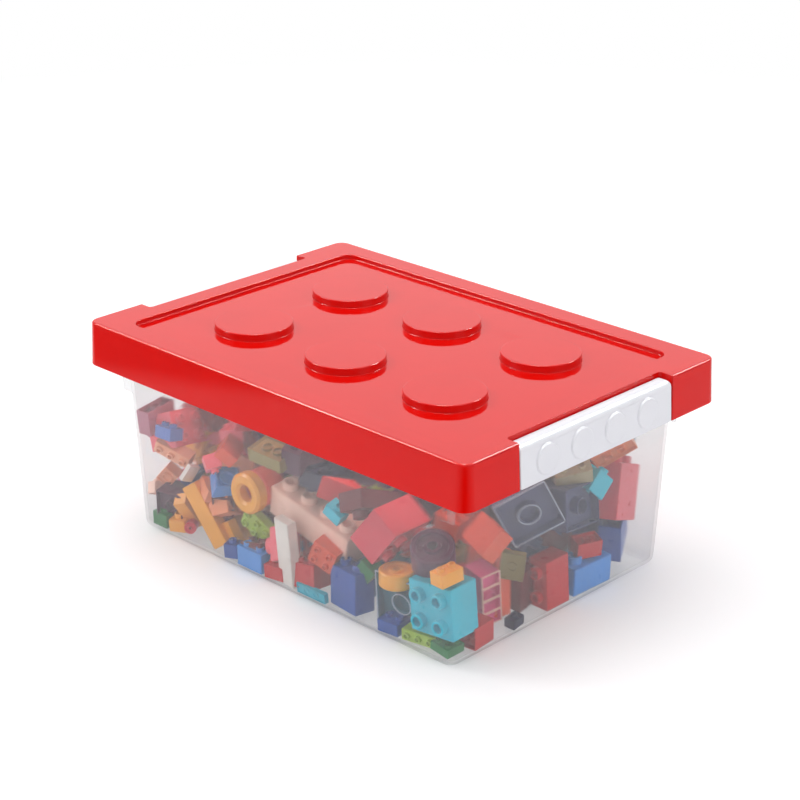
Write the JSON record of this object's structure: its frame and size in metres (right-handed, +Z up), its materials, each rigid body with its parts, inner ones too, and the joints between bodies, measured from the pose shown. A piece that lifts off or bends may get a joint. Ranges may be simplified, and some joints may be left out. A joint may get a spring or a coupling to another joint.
{
  "type": "building block storage box",
  "caption": "Clear tapered storage tub with a red studded lid held down by a swinging white latch at each end.",
  "frame": {"origin": "middle of the tub's flat underside, where the box stands", "axes": "+X along the long side towards the latch_right end, +Y across the box towards the side that the picture hides, +Z up"},
  "size_m": [0.2928, 0.2044, 0.1278],
  "materials": {
    "clear_plastic": "see-through, faintly frosted moulded plastic",
    "red_plastic": "glossy saturated red",
    "white_plastic": "satin cool white"
  },
  "bodies": {
    "tub": {"tub": "clear_plastic"},
    "lid": {"lid": "red_plastic"},
    "latch_right": {"latch_right": "white_plastic"},
    "latch_left": {"latch_left": "white_plastic"}
  },
  "joints": [
    {"name": "lid_lift", "type": "slide", "parent": "tub", "child": "lid", "axis": [0, 0, 1], "range_m": [0, 0.1]},
    {"name": "latch_right_swing", "type": "hinge", "parent": "tub", "child": "latch_right", "pos_m": [0.1395, 0, 0.106], "axis": [0, 1, 0], "range_deg": [0, 110]},
    {"name": "latch_left_swing", "type": "hinge", "parent": "tub", "child": "latch_left", "pos_m": [-0.1395, 0, 0.106], "axis": [0, -1, 0], "range_deg": [0, 110]}
  ]
}
